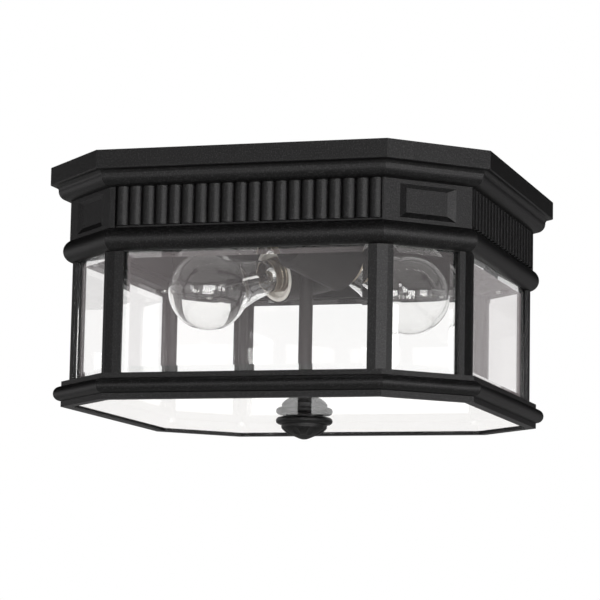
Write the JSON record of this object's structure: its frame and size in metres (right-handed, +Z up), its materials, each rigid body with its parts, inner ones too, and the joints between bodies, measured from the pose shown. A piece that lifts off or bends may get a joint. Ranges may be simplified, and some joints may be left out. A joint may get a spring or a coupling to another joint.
{
  "type": "flush mount ceiling light",
  "caption": "Black octagonal flush-mount porch lantern with a moulded canopy, bevelled clear glass panes, a flat glass floor held by a finial, and clear screw-in lamps.",
  "frame": {"origin": "middle of the ceiling face, between the crossbar's two outlet-box slots", "axes": "+Z up into the ceiling, -Y out of the front reeded face, +X to the right seen from the front"},
  "size_m": [0.33, 0.33, 0.1915],
  "materials": {
    "black_powder_coat": "fine sand texture, satin",
    "black_enamel": "satin",
    "bevelled_glass": "clear, polished bevels",
    "plate_glass": "clear",
    "lamp_glass": "clear",
    "stem_glass": "clear",
    "brass": "bright",
    "solder": "satin",
    "tungsten": "satin",
    "porcelain": "glazed",
    "zinc_steel": "bright zinc",
    "spring_steel": "dark oiled",
    "green_steel": "satin",
    "glass_fibre": "matte",
    "gasket_rubber": "matte",
    "bushing_plastic": "matte"
  },
  "bodies": {
    "frame": {"canopy": "black_powder_coat", "lower_ring": "black_powder_coat", "post_front_right": "black_powder_coat", "post_right_front": "black_powder_coat", "post_right_back": "black_powder_coat", "post_back_right": "black_powder_coat", "post_back_left": "black_powder_coat", "post_left_back": "black_powder_coat", "post_left_front": "black_powder_coat", "post_front_left": "black_powder_coat", "centre_rod": "black_enamel", "pan": "black_enamel", "bracket_left": "black_enamel", "bracket_right": "black_enamel", "holder_cup_left": "black_enamel", "holder_cup_right": "black_enamel", "pane_front": "bevelled_glass", "pane_front_right": "bevelled_glass", "pane_right": "bevelled_glass", "pane_back_right": "bevelled_glass", "pane_back": "bevelled_glass", "pane_back_left": "bevelled_glass", "pane_left": "bevelled_glass", "pane_front_left": "bevelled_glass", "socket_shell_left": "brass", "socket_contact_left": "brass", "socket_left": "porcelain", "socket_shell_right": "brass", "socket_contact_right": "brass", "socket_right": "porcelain", "tie_screws": "zinc_steel", "pane_clips": "spring_steel", "clip_screws": "zinc_steel", "pan_screws": "zinc_steel", "bracket_screws": "zinc_steel", "crossbar": "zinc_steel", "canopy_studs": "zinc_steel", "stud_nuts": "zinc_steel", "cap_nuts": "zinc_steel", "rod_nuts": "zinc_steel", "holder_nipples": "zinc_steel", "holder_nuts": "zinc_steel", "ground_screw": "green_steel", "insulation_pad": "glass_fibre", "bottom_gasket": "gasket_rubber", "wire_bushings": "bushing_plastic"},
    "bottom_glass": {"bottom_glass": "plate_glass"},
    "finial_washer": {"finial_washer": "black_powder_coat"},
    "finial": {"finial": "black_powder_coat"},
    "lamp_foot_left": {"lamp_foot_left": "solder"},
    "lamp_left": {"lamp_base_left": "brass", "lamp_glass_left": "lamp_glass", "lamp_stem_left": "stem_glass", "lamp_filament_left": "tungsten"},
    "lamp_foot_right": {"lamp_foot_right": "solder"},
    "lamp_right": {"lamp_base_right": "brass", "lamp_glass_right": "lamp_glass", "lamp_stem_right": "stem_glass", "lamp_filament_right": "tungsten"}
  },
  "joints": [
    {"name": "glass_drop", "type": "slide", "parent": "frame", "child": "bottom_glass", "axis": [0, 0, -1], "range_m": [0, 0.15]},
    {"name": "finial_travel", "type": "slide", "parent": "bottom_glass", "child": "finial_washer", "axis": [0, 0, -1], "range_m": [0, 0.00894]},
    {"name": "finial_spin", "type": "hinge", "parent": "finial_washer", "child": "finial", "pos_m": [0, 0, -0.18], "axis": [0, 0, -1], "range_deg": [0, 3420]},
    {"name": "lamp_left_travel", "type": "slide", "parent": "frame", "child": "lamp_foot_left", "axis": [-0.5703, -0.7708, -0.284], "range_m": [0, 0.01633]},
    {"name": "lamp_left_spin", "type": "hinge", "parent": "lamp_foot_left", "child": "lamp_left", "pos_m": [-0.02199, 0.03832, -0.05832], "axis": [-0.5703, -0.7708, -0.284], "range_deg": [0, 1620]},
    {"name": "lamp_right_travel", "type": "slide", "parent": "frame", "child": "lamp_foot_right", "axis": [0.5703, 0.7708, -0.284], "range_m": [0, 0.01633]},
    {"name": "lamp_right_spin", "type": "hinge", "parent": "lamp_foot_right", "child": "lamp_right", "pos_m": [0.02599, -0.03832, -0.05832], "axis": [0.5703, 0.7708, -0.284], "range_deg": [0, 1620]}
  ],
  "couplings": [
    {"joint": "finial_spin", "follows": "finial_travel", "rad_per_m": 6679},
    {"joint": "lamp_left_spin", "follows": "lamp_left_travel", "rad_per_m": 1731.6},
    {"joint": "lamp_right_spin", "follows": "lamp_right_travel", "rad_per_m": 1731.6}
  ]
}
